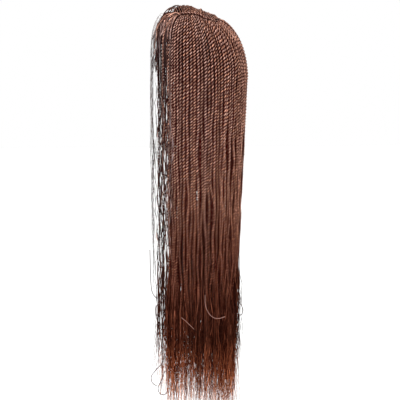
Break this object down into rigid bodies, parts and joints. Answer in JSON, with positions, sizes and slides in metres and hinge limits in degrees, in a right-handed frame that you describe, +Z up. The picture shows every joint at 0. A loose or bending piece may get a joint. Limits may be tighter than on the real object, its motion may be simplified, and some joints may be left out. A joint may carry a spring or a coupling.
{
  "type": "braid wig",
  "caption": "Very long wig of fine two-strand twists with a left side parting, dark reddish brown, on an open net cap.",
  "frame": {"origin": "highest point inside the cap, where the crown of the head touches it", "axes": "+Z up, the wearer's face looks along -Y, the wearer's left is +X"},
  "size_m": [0.194, 0.2356, 0.9521],
  "materials": {
    "cap_net": "matt net",
    "parting_band_hair": "satin fibre",
    "twisted_hair": "satin fibre"
  },
  "bodies": {
    "root": {"cap": "cap_net", "parting_band": "parting_band_hair", "left_front_braids": "twisted_hair", "left_middle_braids": "twisted_hair", "left_rear_braids": "twisted_hair", "back_left_braids": "twisted_hair", "back_right_braids": "twisted_hair", "right_rear_braids": "twisted_hair", "right_middle_braids": "twisted_hair", "right_front_braids": "twisted_hair", "forehead_braids": "twisted_hair", "face_braid_1": "twisted_hair", "face_braid_2": "twisted_hair", "face_braid_3": "twisted_hair"}
  },
  "joints": []
}
